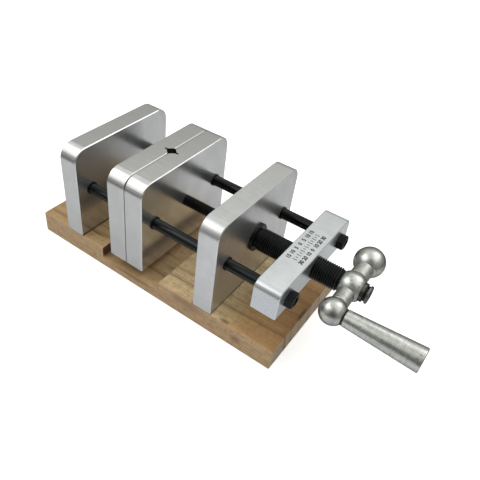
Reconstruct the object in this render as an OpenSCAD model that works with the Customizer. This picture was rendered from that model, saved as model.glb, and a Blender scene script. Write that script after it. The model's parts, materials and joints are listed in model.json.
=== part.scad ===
// Pen blank drilling vise: a self-centring two-jaw vise on a wooden board.
// X runs along the spindle towards the crank, Y across the jaws, and Z up.
// The origin is the middle of the board's bottom face. Units are millimetres.
// The vise is drawn closed. Turning the crank opens both jaws by the same amount:
// the spindle's outer thread draws the pull bar, guide rods and rear jaw one way,
// and its inner left-hand thread draws the front jaw the other way.

/* [Width] */
// Width of the board, plates, jaws and pull bar
vise_w = 96; // [90:1:110]

/* [Board] */
// Length of the board, along the spindle
board_l = 211; // [200:1:260]
// Thickness of the board
board_t = 17.2; // [14:0.1:30]
// Width of the cross groove under the jaws, where the drill runs out
groove_w = 54.3; // [30:0.1:60]
// Depth of the cross groove
groove_depth = 8.2; // [2:0.1:10]
// Distance of the groove's middle in front of the jaws' closing plane
groove_shift = 3.6; // [-4:0.1:8]
// Length of board behind the rear plate, which the guide rods run out over
rear_overhang = 26.9; // [25:0.1:30]
// Width of the bevel along the board's long top edges
board_ease = 0.6; // [0.2:0.1:1.5]

/* [Plates and jaws] */
// Height of the two fixed plates above the board
plate_h = 72; // [64:1:80]
// Thickness of every plate and jaw
plate_t = 15; // [13:0.1:17]
// Radius of the plates' top corners
corner_r = 10.5; // [6:0.5:16]
// Width of the bevel round the faces of plates, jaws and pull bar
edge_bevel = 0.5; // [0.2:0.1:1]
// Height of the jaws' bottom edges over the board
jaw_lift = 0.8; // [0.4:0.1:2]
// Half the width of each jaw's right-angled V groove, which is also its depth
vee_half_w = 4.4; // [3:0.1:5]
// Width of the relief slot at the bottom of the V groove
relief_w = 1.6; // [0.8:0.1:2.4]
// Depth of the relief slot past the V groove
relief_depth = 1.3; // [0.5:0.1:1.6]

/* [Spacing at rest] */
// Space between the rear plate and the rear jaw
rear_gap = 29.4; // [27:0.1:34]
// Space between the closed jaws
jaw_gap = 0.4; // [0.2:0.1:1]
// Space between the front jaw and the bearing plate
front_gap = 45.4; // [40:0.1:50]
// Space between the bearing plate and the pull bar
bar_gap = 27.2; // [26.5:0.1:34]
// Height of the spindle's axis above the board
axis_height = 37.4; // [35:0.1:42]

/* [Pull bar] */
// Thickness of the pull bar, along the spindle
bar_t = 18; // [14:0.5:22]
// Height of the pull bar
bar_h = 21; // [20:0.5:28]
// Height of the bar's middle above the spindle's axis
bar_rise = 1.5; // [-1:0.1:2]
// Radius of the bar's two top corners
bar_corner_r = 6; // [2:0.5:8]

/* [Guide rods] */
// Diameter of the guide rods
rod_d = 8; // [6:0.5:9]
// Distance between the two guide rods' axes
rod_spacing = 69.4; // [60:0.1:74]
// Length of rod that stands out behind the rear plate
rod_tail = 1.4; // [0.5:0.1:2]
// Diameter of the threaded studs that go through the pull bar
stud_d = 6; // [4:0.5:6]
// Width across the flats of the rod nuts
nut_flats = 10; // [8:0.5:12]
// Height of the rod nuts
nut_h = 5; // [4:0.5:6]
// Wall thickness of the guide bushes
bush_wall = 0.65; // [0.5:0.05:1.5]
// Length that each guide bush stands out in front of its plate
bush_stand = 0.9; // [0.4:0.1:2]

/* [Spindle] */
// Outside diameter of the spindle's thread
thread_d = 16; // [15:0.5:18]
// Pitch of both threads
pitch = 1.5; // [1:0.25:2]
// Length of spindle from the bearing plate's face to the end of its thread
spindle_reach = 63; // [55:0.5:70]
// Diameter of the collar against the bearing plate
collar_d = 20.4; // [18:0.1:24]
// Thickness of the collar
collar_t = 1.9; // [1:0.1:2]
// Diameter of the journal in the bearing plate
journal_d = 12; // [11:0.1:13]
// Outside diameter of the draw screw's thread
draw_d = 8; // [6:0.5:8]
// Length of the draw screw that runs past the bearing plate's face, inside the spindle
draw_inside = 19; // [10:0.5:25]
// Movement of each jaw from closed to fully open
jaw_travel = 23.25; // [15:0.25:25]

/* [Crank] */
// Diameter of the ball on the spindle
hub_ball_d = 19.8; // [18.6:0.1:22]
// Diameter of the ball that carries the grip
grip_ball_d = 17.6; // [16:0.1:20]
// Diameter of the balancing ball
weight_ball_d = 21; // [17:0.1:24]
// Distance from the spindle's axis to the grip's axis
grip_arm = 25.85; // [22:0.05:32]
// Distance from the spindle's axis to the balancing ball
weight_arm = 27.3; // [24:0.1:32]
// Diameter of the neck between hub and grip ball
grip_neck_d = 11.4; // [9:0.1:13]
// Diameter of the neck between hub and balancing ball
weight_neck_d = 12.6; // [10:0.1:14]
// Angle of the arm from level at rest, in degrees
crank_rest_angle = 1.7; // [0:0.1:90]

/* [Grip] */
// Length of the grip
grip_l = 47.8; // [40:0.1:60]
// Diameter of the grip at the ball
grip_small_d = 11; // [10:0.1:13]
// Diameter of the grip at its outer end
grip_big_d = 15.8; // [14:0.1:20]
// Diameter of the axle that the grip turns on
axle_d = 6; // [5:0.5:6.5]

/* [Hidden] */
$fn = 96;

// Overrun of every cut past the face that it opens
over = 1;
// Radial clearance of a shaft or rod that runs or slides in its bore
run_clear = 0.05;
// Radial clearance drawn round a pressed or screwed piece
seat_clear = 0.02;
// Radial clearance of a plain hole round a bolt or stud
bolt_clear = 0.2;
// End clearance between a turning face and a fixed one
thrust_clear = 0.1;
// Gap drawn between two faces that are clamped together
face_gap = 0.02;

// Places along X, from the back of the board to the front
rear_plate_x = -board_l / 2 + rear_overhang;
rear_jaw_x = rear_plate_x + plate_t + rear_gap;
closing_x = rear_jaw_x + plate_t + jaw_gap / 2;
front_jaw_x = closing_x + jaw_gap / 2;
bearing_plate_x = front_jaw_x + plate_t + front_gap;
bearing_face_x = bearing_plate_x + plate_t;
bar_x = bearing_face_x + bar_gap;
bar_face_x = bar_x + bar_t;
axis_z = board_t + axis_height;
bar_z = axis_z + bar_rise - bar_h / 2;
rod_y = rod_spacing / 2;
bush_d = rod_d + 2 * (run_clear + bush_wall);

// Screws that hold the fixed plates down on the board
plate_screw_d = 6;
plate_screw_spacing = 56;
plate_screw_head_d = 10;
plate_screw_head_h = 6;
plate_screw_socket = 5;
plate_screw_socket_depth = 3;
plate_screw_sunk = 1;
plate_screw_grip = 12;
plate_screw_hole_spare = 2;
counterbore_clear = 0.5;

// Set screws that lock the guide rods in the rear jaw, from below
set_screw_d = 5;
set_screw_l = 8;
set_screw_socket = 2.5;
set_screw_socket_depth = 3;

// Chamfers at rod and nut ends, and the step from a rod to its stud
rod_chamfer = 0.8;
nut_chamfer = 0.7;
stud_chamfer = 0.5;
stud_end_sunk = 0.6;

// Seat of the draw screw in the front jaw, and the pin through both
draw_seat = 8;
draw_chamfer = 1;
pin_d = 3;
pin_l = 26;
pin_past_axis = 3.4;

// Shares of one pitch: the flat at the root, each flank and the crest, and the depth
root_share = 1 / 4;
flank_share = 5 / 16;
crest_share = 1 / 8;
depth_share = 0.6134;

// Spindle: neck behind the collar, end chamfer, inner bore and tenon for the hub
neck_l = 1.6;
neck_cut = 1.1;
spindle_chamfer = 0.8;
bore_spare = 3;
tenon_d = 8;
crank_screw_d = 4;
crank_screw_depth = 12;
crank_screw_spare = 1.5;

// Bush, washer and ring of the spindle in the bearing plate
spindle_bush_wall = 2;
thrust_washer_t = 1.5;
thrust_washer_rim = 3;
ring_t = 1;
ring_seat_depth = 0.7;
ring_rim = 1.4;
ring_mouth = 5;
journal_tail = 1;

// Hub: flats turned on the balls, and the key in the hub's bore
hub_inner_flat = 7.9;
ball_outer_flat = 6.9;
key_w = 2;
key_h = 2;
key_l = 8;
key_sunk = 1.1;

// Washers and screw on the hub's outer flat
crank_washer_d = 12.6;
crank_washer_t = 2.1;
lock_washer_d = 10.4;
lock_washer_t = 1.9;
lock_washer_mouth = 1.2;
crank_screw_head_d = 12;
crank_screw_head_t = 1.3;
crank_screw_head_chamfer = 0.3;
crank_screw_socket = 4;
crank_screw_socket_depth = 0.9;
tenon_back = 0.3;

// Grip: its axle, washer, liner and rounded ends
axle_thread_d = 5;
axle_thread_l = 9;
axle_head_d = 10;
axle_head_t = 3;
axle_slot_w = 1.4;
axle_slot_depth = 1.2;
grip_washer_d = 10.6;
grip_washer_t = 0.9;
grip_bush_wall = 1;
grip_recess_d = 11;
grip_recess_depth = 6.5;
grip_small_round = 0.5;
grip_big_round = 0.9;
arc_steps = 6;

// Places that depend on the small sizes above
hub_x = bearing_face_x + spindle_reach + face_gap + hub_inner_flat;
hub_flat_x = hub_x + ball_outer_flat;
spindle_end_x = bearing_face_x + spindle_reach;
tenon_end_x = hub_flat_x - tenon_back;
thread_start_x = bearing_face_x + thrust_clear + collar_t + neck_l;
journal_start_x = bearing_plate_x - 2 * thrust_clear - thrust_washer_t - ring_t - journal_tail;
draw_start_x = front_jaw_x + plate_t - draw_seat;
draw_end_x = bearing_face_x + draw_inside;
sleeve_bore_end_x = draw_end_x + jaw_travel + bore_spare;
crank_washer_x = hub_flat_x + face_gap;
lock_washer_x = crank_washer_x + crank_washer_t + face_gap;
crank_head_x = lock_washer_x + lock_washer_t + face_gap;
grip_x = hub_flat_x + grip_washer_t + 2 * thrust_clear;
grip_end_x = grip_x + grip_l;
axle_head_x = grip_end_x - grip_recess_depth + thrust_clear;

// Puts a shape drawn along Z onto the X axis at a place, its Z turned to +X
module on_x(x, y = 0, z = axis_z) {
    translate([x, y, z]) rotate([0, 90, 0]) children();
}

// Turns its children to the crank's rest angle about the spindle's axis
module crank_turned() {
    translate([0, 0, axis_z]) rotate([crank_rest_angle, 0, 0]) translate([0, 0, -axis_z]) children();
}

// A ring or disc along X between two places, with a bore when the inner diameter is not zero
module disc_x(x0, x1, outer_d, inner_d = 0, y = 0) {
    on_x(x0, y) difference() {
        cylinder(h = x1 - x0, d = outer_d);
        if (inner_d > 0) translate([0, 0, -over]) cylinder(h = x1 - x0 + 2 * over, d = inner_d);
    }
}

// A plain hole along X between two places, without overrun
module bore_x(x0, x1, d, y = 0) {
    on_x(x0, y) cylinder(h = x1 - x0, d = d);
}

// A plate that stands on Z zero with round top corners and bevels round its two faces
module slab(t, w, h, r, bevel) {
    mid = w / 2 - r;
    linear_extrude(h - r) polygon([[0, bevel - w / 2], [bevel, -w / 2], [t - bevel, -w / 2],
        [t, bevel - w / 2], [t, w / 2 - bevel], [t - bevel, w / 2], [bevel, w / 2], [0, w / 2 - bevel]]);
    translate([0, mid, 0]) rotate([90, 0, 0]) linear_extrude(2 * mid)
        polygon([[0, 0], [t, 0], [t, h - bevel], [t - bevel, h], [bevel, h], [0, h - bevel]]);
    for (side = [-1, 1]) translate([0, side * mid, h - r]) rotate([0, 90, 0]) rotate_extrude()
        polygon([[0, 0], [r - bevel, 0], [r, bevel], [r, t - bevel], [r - bevel, t], [0, t]]);
}

// Right-angled V groove with its relief slot, cut along Z into a face at X zero towards +X
module vee_cut(h) {
    translate([0, 0, -over]) linear_extrude(h + 2 * over) union() {
        polygon([[-over, -vee_half_w - over], [vee_half_w, 0], [-over, vee_half_w + over]]);
        translate([0, -relief_w / 2]) square([vee_half_w + relief_depth, relief_w]);
    }
}

// Outline points of a row of thread ridges along a screw, as [radius, place]
function ridges(x0, turns, crest_r) = [for (i = [0 : turns - 1])
    for (q = [[0, 0], [root_share, 0], [root_share + flank_share, 1],
        [root_share + flank_share + crest_share, 1]])
        [crest_r - (1 - q[1]) * depth_share * pitch, x0 + (i + q[0]) * pitch]];

// Points of an arc round a corner, from one angle to another
function arc(cx, cy, r, from, to) = [for (i = [0 : arc_steps])
    let (a = from + (to - from) * i / arc_steps) [cx + r * cos(a), cy + r * sin(a)]];

module base_board() {
    groove_x = closing_x + groove_shift - groove_w / 2;
    color("burlywood") difference() {
        translate([-board_l / 2, -vise_w / 2, 0]) cube([board_l, vise_w, board_t]);
        translate([groove_x, -vise_w / 2 - over, board_t - groove_depth])
            cube([groove_w, vise_w + 2 * over, groove_depth + over]);
        for (side = [-1, 1]) translate([-board_l / 2 - over, side * vise_w / 2, board_t])
            rotate([45, 0, 0]) translate([0, -board_ease / sqrt(2), -board_ease / sqrt(2)])
            cube([board_l + 2 * over, board_ease * sqrt(2), board_ease * sqrt(2)]);
        for (x = [rear_plate_x, bearing_plate_x], side = [-1, 1])
            translate([x + plate_t / 2, side * plate_screw_spacing / 2, 0]) {
                translate([0, 0, -over]) cylinder(h = board_t + 2 * over, d = plate_screw_d + 2 * bolt_clear);
                translate([0, 0, -over]) cylinder(h = plate_screw_sunk + plate_screw_head_h + over,
                    d = plate_screw_head_d + 2 * counterbore_clear);
            }
    }
}

// Blind holes for the plate screws, up from the bottom edge of a fixed plate
module plate_screw_holes(x) {
    for (side = [-1, 1]) translate([x + plate_t / 2, side * plate_screw_spacing / 2, board_t - over])
        cylinder(h = plate_screw_grip + plate_screw_hole_spare + over, d = plate_screw_d + 2 * seat_clear);
}

// Holes for the two guide bushes through a plate or jaw
module bush_holes(x) {
    for (side = [-1, 1]) bore_x(x - over, x + plate_t + over, bush_d + 2 * seat_clear, side * rod_y);
}

module rear_plate() {
    color("gainsboro") difference() {
        translate([rear_plate_x, 0, board_t]) slab(plate_t, vise_w, plate_h, corner_r, edge_bevel);
        bush_holes(rear_plate_x);
        plate_screw_holes(rear_plate_x);
    }
}

module bearing_plate() {
    color("gainsboro") difference() {
        translate([bearing_plate_x, 0, board_t]) slab(plate_t, vise_w, plate_h, corner_r, edge_bevel);
        bush_holes(bearing_plate_x);
        plate_screw_holes(bearing_plate_x);
        bore_x(bearing_plate_x - over, bearing_face_x + over,
            journal_d + 2 * (run_clear + spindle_bush_wall + seat_clear));
    }
}

// Two socket-head screws, up through the board into a fixed plate
module plate_screws(x) {
    color("dimgray") for (side = [-1, 1])
        translate([x + plate_t / 2, side * plate_screw_spacing / 2, plate_screw_sunk]) {
            difference() {
                cylinder(h = plate_screw_head_h - face_gap, d = plate_screw_head_d);
                translate([0, 0, -over]) cylinder(h = plate_screw_socket_depth + over,
                    d = plate_screw_socket / cos(30), $fn = 6);
            }
            translate([0, 0, plate_screw_head_h / 2]) cylinder(d = plate_screw_d,
                h = board_t - plate_screw_sunk - plate_screw_head_h / 2 + plate_screw_grip);
        }
}

module rear_plate_screws() plate_screws(rear_plate_x);

module bearing_plate_screws() plate_screws(bearing_plate_x);

// Two guide bushes, flush at the back of a plate and standing out a little in front
module bushes(x) {
    color("dimgray") for (side = [-1, 1])
        disc_x(x, x + plate_t + bush_stand, bush_d, rod_d + 2 * run_clear, side * rod_y);
}

module rear_plate_bushes() bushes(rear_plate_x);

module bearing_plate_bushes() bushes(bearing_plate_x);

module front_jaw_bushes() bushes(front_jaw_x);

module spindle_bush() {
    color("peru") disc_x(bearing_plate_x, bearing_face_x, journal_d + 2 * (run_clear + spindle_bush_wall),
        journal_d + 2 * run_clear);
}

module rear_jaw() {
    color("gainsboro") difference() {
        translate([rear_jaw_x, 0, board_t + jaw_lift])
            slab(plate_t, vise_w, plate_h - jaw_lift, corner_r, edge_bevel);
        translate([rear_jaw_x + plate_t, 0, board_t + jaw_lift]) mirror([1, 0, 0]) vee_cut(plate_h);
        for (side = [-1, 1]) {
            bore_x(rear_jaw_x - over, rear_jaw_x + plate_t + over, rod_d + 2 * seat_clear, side * rod_y);
            translate([rear_jaw_x + plate_t / 2, side * rod_y, board_t + jaw_lift - over])
                cylinder(h = axis_height - jaw_lift + over, d = set_screw_d + 2 * seat_clear);
        }
    }
}

module rear_jaw_set_screws() {
    top_z = axis_z - rod_d / 2 - face_gap;
    color("dimgray") for (side = [-1, 1])
        translate([rear_jaw_x + plate_t / 2, side * rod_y, top_z - set_screw_l]) difference() {
            cylinder(h = set_screw_l, d = set_screw_d);
            translate([0, 0, -over]) cylinder(h = set_screw_socket_depth + over,
                d = set_screw_socket / cos(30), $fn = 6);
        }
}

// A guide rod with its threaded stud, turned in one piece
module guide_rod(side) {
    x0 = rear_plate_x - rod_tail;
    x1 = bar_x - face_gap;
    x2 = bar_face_x + nut_h - stud_end_sunk;
    color("dimgray") on_x(0, side * rod_y) rotate_extrude() polygon([[0, x0], [rod_d / 2 - rod_chamfer, x0],
        [rod_d / 2, x0 + rod_chamfer], [rod_d / 2, x1], [stud_d / 2, x1], [stud_d / 2, x2 - stud_chamfer],
        [stud_d / 2 - stud_chamfer, x2], [0, x2]]);
}

module guide_rod_near() guide_rod(-1);

module guide_rod_far() guide_rod(1);

module pull_bar() {
    color("gainsboro") difference() {
        translate([bar_x, 0, bar_z]) slab(bar_t, vise_w, bar_h, bar_corner_r, edge_bevel);
        bore_x(bar_x - over, bar_face_x + over, thread_d + 2 * run_clear);
        for (side = [-1, 1])
            bore_x(bar_x - over, bar_face_x + over, stud_d + 2 * bolt_clear, side * rod_y);
    }
}

// Two hexagon nuts, bevelled at their outer corners
module rod_nuts() {
    corner_d = nut_flats / cos(30);
    color("dimgray") for (side = [-1, 1]) on_x(bar_face_x + face_gap, side * rod_y) difference() {
        intersection() {
            cylinder(h = nut_h, d = corner_d, $fn = 6);
            rotate_extrude() polygon([[0, 0], [corner_d / 2, 0], [corner_d / 2, nut_h - nut_chamfer],
                [nut_flats / 2 - nut_chamfer, nut_h], [0, nut_h]]);
        }
        translate([0, 0, -over]) cylinder(h = nut_h + 2 * over, d = stud_d + 2 * seat_clear);
    }
}

module front_jaw() {
    color("gainsboro") difference() {
        translate([front_jaw_x, 0, board_t + jaw_lift])
            slab(plate_t, vise_w, plate_h - jaw_lift, corner_r, edge_bevel);
        translate([front_jaw_x, 0, board_t + jaw_lift]) vee_cut(plate_h);
        bush_holes(front_jaw_x);
        bore_x(draw_start_x, front_jaw_x + plate_t + over, draw_d + 2 * seat_clear);
        translate([draw_start_x + draw_seat / 2, 0, board_t + jaw_lift - over])
            cylinder(h = axis_height - jaw_lift + over + pin_past_axis + face_gap, d = pin_d + 2 * seat_clear);
    }
}

// The draw screw: a plain seat in the front jaw, then a left-hand thread into the spindle
module draw_screw() {
    r = draw_d / 2;
    root_r = r - depth_share * pitch;
    x0 = draw_start_x + face_gap;
    x1 = front_jaw_x + plate_t;
    turns = floor((draw_end_x - draw_chamfer - x1) / pitch);
    x2 = x1 + turns * pitch;
    color("dimgray") difference() {
        on_x(0) rotate_extrude() polygon(concat([[0, x0], [r, x0], [r, x1]], ridges(x1, turns, r),
            [[root_r, x2], [root_r - draw_chamfer, draw_end_x], [0, draw_end_x]]));
        translate([draw_start_x + draw_seat / 2, 0, axis_z - draw_d])
            cylinder(h = draw_d + pin_past_axis + face_gap, d = pin_d + 2 * seat_clear);
    }
}

module draw_screw_pin() {
    color("silver") translate([draw_start_x + draw_seat / 2, 0, axis_z + pin_past_axis - pin_l])
        cylinder(h = pin_l, d = pin_d);
}

// The spindle: journal, collar, thread and tenon in one piece, hollow for the draw screw
module spindle_sleeve() {
    r = thread_d / 2;
    root_r = r - depth_share * pitch;
    bore_r = draw_d / 2 + run_clear;
    collar_x = bearing_face_x + thrust_clear;
    ring_x = bearing_plate_x - 2 * thrust_clear - thrust_washer_t - ring_t;
    seat_r = journal_d / 2 - ring_seat_depth;
    turns = floor((spindle_end_x - spindle_chamfer - thread_start_x) / pitch);
    thread_end_x = thread_start_x + turns * pitch;
    screw_r = crank_screw_d / 2 + seat_clear;
    screw_end_x = crank_head_x - crank_screw_depth - crank_screw_spare;
    color("dimgray") difference() {
        on_x(0) rotate_extrude() polygon(concat([[bore_r, journal_start_x], [journal_d / 2, journal_start_x],
            [journal_d / 2, ring_x - face_gap], [seat_r, ring_x - face_gap], [seat_r, ring_x + ring_t + face_gap],
            [journal_d / 2, ring_x + ring_t + face_gap], [journal_d / 2, collar_x], [collar_d / 2, collar_x],
            [collar_d / 2, collar_x + collar_t], [r - neck_cut, collar_x + collar_t]],
            ridges(thread_start_x, turns, r),
            [[root_r, thread_end_x], [r - depth_share * pitch / 2, thread_end_x],
            [r - spindle_chamfer, spindle_end_x], [tenon_d / 2, spindle_end_x], [tenon_d / 2, tenon_end_x],
            [screw_r, tenon_end_x], [screw_r, screw_end_x], [0, screw_end_x], [0, sleeve_bore_end_x],
            [bore_r, sleeve_bore_end_x]]));
        crank_turned() key_slot();
    }
}

// Space that the key takes up in the tenon and in the hub's bore
module key_slot() {
    translate([hub_x - key_l / 2 - seat_clear, -key_w / 2 - seat_clear, axis_z + tenon_d / 2 - key_sunk - seat_clear])
        cube([key_l + 2 * seat_clear, key_w + 2 * seat_clear, key_h + 2 * seat_clear]);
}

module thrust_washer() {
    x0 = bearing_plate_x - thrust_clear - thrust_washer_t;
    color("peru") disc_x(x0, x0 + thrust_washer_t, journal_d + 2 * thrust_washer_rim, journal_d + 2 * run_clear);
}

module retaining_ring() {
    x0 = bearing_plate_x - 2 * thrust_clear - thrust_washer_t - ring_t;
    outer_d = journal_d + 2 * ring_rim;
    color("dimgray") difference() {
        disc_x(x0, x0 + ring_t, outer_d, journal_d - 2 * ring_seat_depth + 2 * seat_clear);
        translate([x0 - over, -ring_mouth / 2, axis_z - outer_d / 2 - over])
            cube([ring_t + 2 * over, ring_mouth, outer_d / 2 + over]);
    }
}

// A ball of the arm, its poles along the arm as on a lathe
module arm_ball(y, d) {
    translate([hub_x, y, axis_z]) rotate([90, 0, 0]) rotate([0, 0, 90]) sphere(d = d);
}

// Three balls on one turned bar; the flats on two of them face the washers
module crank_arm() {
    color("silver") crank_turned() difference() {
        union() {
            arm_ball(0, hub_ball_d);
            arm_ball(-grip_arm, grip_ball_d);
            arm_ball(weight_arm, weight_ball_d);
            translate([hub_x, weight_arm, axis_z]) rotate([90, 0, 0])
                cylinder(h = weight_arm, d = weight_neck_d);
            translate([hub_x, 0, axis_z]) rotate([90, 0, 0]) cylinder(h = grip_arm, d = grip_neck_d);
        }
        translate([hub_x - hub_inner_flat - hub_ball_d, -hub_ball_d / 2, axis_z - hub_ball_d / 2])
            cube([hub_ball_d, hub_ball_d, hub_ball_d]);
        translate([hub_flat_x, -grip_arm - grip_ball_d / 2, axis_z - grip_ball_d / 2])
            cube([grip_ball_d, grip_ball_d / 2 + grip_arm + hub_ball_d / 2, grip_ball_d]);
        bore_x(hub_x - hub_ball_d, hub_x + hub_ball_d, tenon_d + 2 * seat_clear);
        bore_x(hub_flat_x - axle_thread_l - face_gap, hub_flat_x + over,
            axle_thread_d + 2 * seat_clear, -grip_arm);
        key_slot();
    }
}

module crank_key() {
    color("dimgray") crank_turned()
        translate([hub_x - key_l / 2, -key_w / 2, axis_z + tenon_d / 2 - key_sunk]) cube([key_l, key_w, key_h]);
}

module crank_washer() {
    color("silver") disc_x(crank_washer_x, crank_washer_x + crank_washer_t, crank_washer_d,
        crank_screw_d + 2 * bolt_clear);
}

module crank_lock_washer() {
    x0 = lock_washer_x;
    color("dimgray") difference() {
        disc_x(x0, x0 + lock_washer_t, lock_washer_d, crank_screw_d + 2 * bolt_clear);
        crank_turned() translate([x0 - over, -lock_washer_mouth / 2, axis_z])
            cube([lock_washer_t + 2 * over, lock_washer_mouth, lock_washer_d]);
    }
}

// Wide low-headed screw in the spindle's end, with a hexagon socket
module crank_screw() {
    r = crank_screw_head_d / 2;
    x0 = crank_head_x;
    x1 = x0 + crank_screw_head_t;
    bevel = crank_screw_head_chamfer;
    color("dimgray") difference() {
        on_x(0) rotate_extrude() polygon([[0, x0 - crank_screw_depth], [crank_screw_d / 2, x0 - crank_screw_depth],
            [crank_screw_d / 2, x0], [r, x0], [r, x1 - bevel], [r - bevel, x1], [0, x1]]);
        crank_turned() on_x(x1 - crank_screw_socket_depth)
            cylinder(h = crank_screw_socket_depth + over, d = crank_screw_socket / cos(30), $fn = 6);
    }
}

// Fixed axle of the grip: threaded into the ball, with a slotted head inside the grip's end
module grip_axle() {
    x0 = hub_flat_x - axle_thread_l;
    x1 = hub_flat_x + face_gap;
    x2 = axle_head_x;
    x3 = axle_head_x + axle_head_t;
    color("dimgray") crank_turned() difference() {
        on_x(0, -grip_arm) rotate_extrude() polygon([[0, x0], [axle_thread_d / 2, x0], [axle_thread_d / 2, x1],
            [axle_d / 2, x1], [axle_d / 2, x2], [axle_head_d / 2, x2], [axle_head_d / 2, x3], [0, x3]]);
        translate([x3 - axle_slot_depth, -grip_arm - axle_head_d, axis_z - axle_slot_w / 2])
            cube([axle_slot_depth + over, 2 * axle_head_d, axle_slot_w]);
    }
}

module grip_washer() {
    x0 = hub_flat_x + thrust_clear;
    color("#202020") crank_turned()
        disc_x(x0, x0 + grip_washer_t, grip_washer_d, axle_d + 2 * run_clear, -grip_arm);
}

// The tapered turning grip, bored for its liner and recessed for the axle's head
module grip() {
    r1 = grip_small_d / 2;
    r2 = grip_big_d / 2;
    bore_r = axle_d / 2 + run_clear + grip_bush_wall + seat_clear;
    recess_x = grip_end_x - grip_recess_depth;
    color("silver") crank_turned() on_x(0, -grip_arm) rotate_extrude() polygon(concat([[bore_r, grip_x]],
        arc(r1 - grip_small_round, grip_x + grip_small_round, grip_small_round, -90, 0),
        arc(r2 - grip_big_round, grip_end_x - grip_big_round, grip_big_round, 0, 90),
        [[grip_recess_d / 2, grip_end_x], [grip_recess_d / 2, recess_x], [bore_r, recess_x]]));
}

module grip_bush() {
    inner_d = axle_d + 2 * run_clear;
    color("peru") crank_turned()
        disc_x(grip_x, grip_end_x - grip_recess_depth, inner_d + 2 * grip_bush_wall, inner_d, -grip_arm);
}

base_board();
rear_plate();
bearing_plate();
rear_plate_screws();
bearing_plate_screws();
rear_plate_bushes();
bearing_plate_bushes();
spindle_bush();
rear_jaw();
rear_jaw_set_screws();
guide_rod_near();
guide_rod_far();
pull_bar();
rod_nuts();
front_jaw();
front_jaw_bushes();
draw_screw();
draw_screw_pin();
spindle_sleeve();
thrust_washer();
retaining_ring();
crank_arm();
crank_key();
crank_washer();
crank_lock_washer();
crank_screw();
grip_axle();
grip_washer();
grip();
grip_bush();
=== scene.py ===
"""Pen blank drilling vise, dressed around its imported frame. Blender units are metres.

X runs along the spindle towards the crank, Y across the jaws and Z up, with the origin in the
middle of the board's bottom face. Real sizes are written in millimetres and scaled by MM.
"""
import json
import math

import bmesh
import bpy
import numpy as np
from mathutils import Matrix, Vector


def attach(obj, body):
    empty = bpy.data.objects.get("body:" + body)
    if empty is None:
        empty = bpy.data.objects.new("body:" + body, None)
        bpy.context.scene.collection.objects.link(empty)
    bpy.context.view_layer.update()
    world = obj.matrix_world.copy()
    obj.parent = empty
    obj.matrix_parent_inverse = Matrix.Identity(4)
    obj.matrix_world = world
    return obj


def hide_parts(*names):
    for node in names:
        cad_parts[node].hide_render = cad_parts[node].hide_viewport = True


MM = 0.001
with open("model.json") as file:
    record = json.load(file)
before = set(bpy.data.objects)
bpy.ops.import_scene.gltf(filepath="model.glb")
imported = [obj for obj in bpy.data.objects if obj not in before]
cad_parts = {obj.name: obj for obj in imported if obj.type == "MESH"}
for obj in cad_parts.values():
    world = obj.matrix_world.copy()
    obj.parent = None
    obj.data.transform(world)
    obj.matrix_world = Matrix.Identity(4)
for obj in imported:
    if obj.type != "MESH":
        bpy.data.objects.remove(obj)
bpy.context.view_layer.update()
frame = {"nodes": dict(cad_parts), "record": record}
nodes = frame["nodes"]


def new_object(name, data):
    """An object for a mesh, curve, lamp or camera, linked to the scene."""
    made = bpy.data.objects.new(name, data)
    bpy.context.scene.collection.objects.link(made)
    return made


# Camera

# The photo's viewing angle in degrees, fitted to the plates' and board's edges. The fit puts the optical
# centre at pixel 160 of 480. The full shift would push other views out of the frame, so under a third
# of it is used, with the rest fitted again, and corners lie within 4 pixels of the photo's.
CAMERA_AZIMUTH = 31.819
CAMERA_ELEVATION = 40.980
CAMERA_ROLL = 6.441
CAMERA_AIM = Vector((33.92, -14.46, 47.68)) * MM
CAMERA_DISTANCE = 360.0 * MM
PHOTO_PIXELS = 480
FOCAL_PIXELS = 525.97
OPTICAL_CENTRE_PIXEL = (216.0, 240.0)
SENSOR_WIDTH = 36
CLIP_START = 10 * MM


def make_camera():
    """A camera on a ray from its aim point, rolled about that ray, with the photo's optical centre."""
    azimuth, elevation, roll = map(math.radians, (CAMERA_AZIMUTH, CAMERA_ELEVATION, CAMERA_ROLL))
    back = Vector((math.sin(azimuth) * math.cos(elevation), -math.cos(azimuth) * math.cos(elevation),
                   math.sin(elevation)))
    level = Vector((0, 0, 1)).cross(back).normalized()
    up = back.cross(level)
    right = math.cos(roll) * level + math.sin(roll) * up
    up = back.cross(right)
    data = bpy.data.cameras.new("photo_camera")
    data.sensor_width = SENSOR_WIDTH
    data.lens = FOCAL_PIXELS / PHOTO_PIXELS * SENSOR_WIDTH
    data.shift_x = 0.5 - OPTICAL_CENTRE_PIXEL[0] / PHOTO_PIXELS
    data.shift_y = OPTICAL_CENTRE_PIXEL[1] / PHOTO_PIXELS - 0.5
    data.clip_start = CLIP_START
    camera = new_object("photo_camera", data)
    turn = Matrix((right, up, back)).transposed().to_4x4()
    camera.matrix_world = Matrix.Translation(CAMERA_AIM + back * CAMERA_DISTANCE) @ turn
    bpy.context.scene.camera = camera


make_camera()


# Sizes of the new pieces, in millimetres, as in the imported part

AXIS_HEIGHT = 54.6
PITCH = 1.5
THREAD_DEPTH = 0.92
SPINDLE_CREST = 8.0
HUB_X = 127.52
HUB_FLAT = 6.9
HUB_BACK = 7.9
CRANK_TILT = math.radians(1.7)
GRIP_ARM = 25.85
WEIGHT_ARM = 27.3
BAR_TOP = 66.6
JAWS_MEET = -19.0

# An origin on the spindle's axis, its direction, and the side where a turned piece's first column lies
ON_SPINDLE = (0, 0, AXIS_HEIGHT), (1, 0, 0), (0, 1, 0)


# Meshes

COLUMNS = 96
DRAW_SCREW_COLUMNS = 64
CRANK_COLUMNS = 128
THREAD_ROWS = 10
DOUBLES_WITHIN = 0.002 * MM
DEGENERATE_WITHIN = 0.001 * MM
SHARP_ANGLE = 35.0
CRANK_SHARP_ANGLE = 28.0


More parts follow.
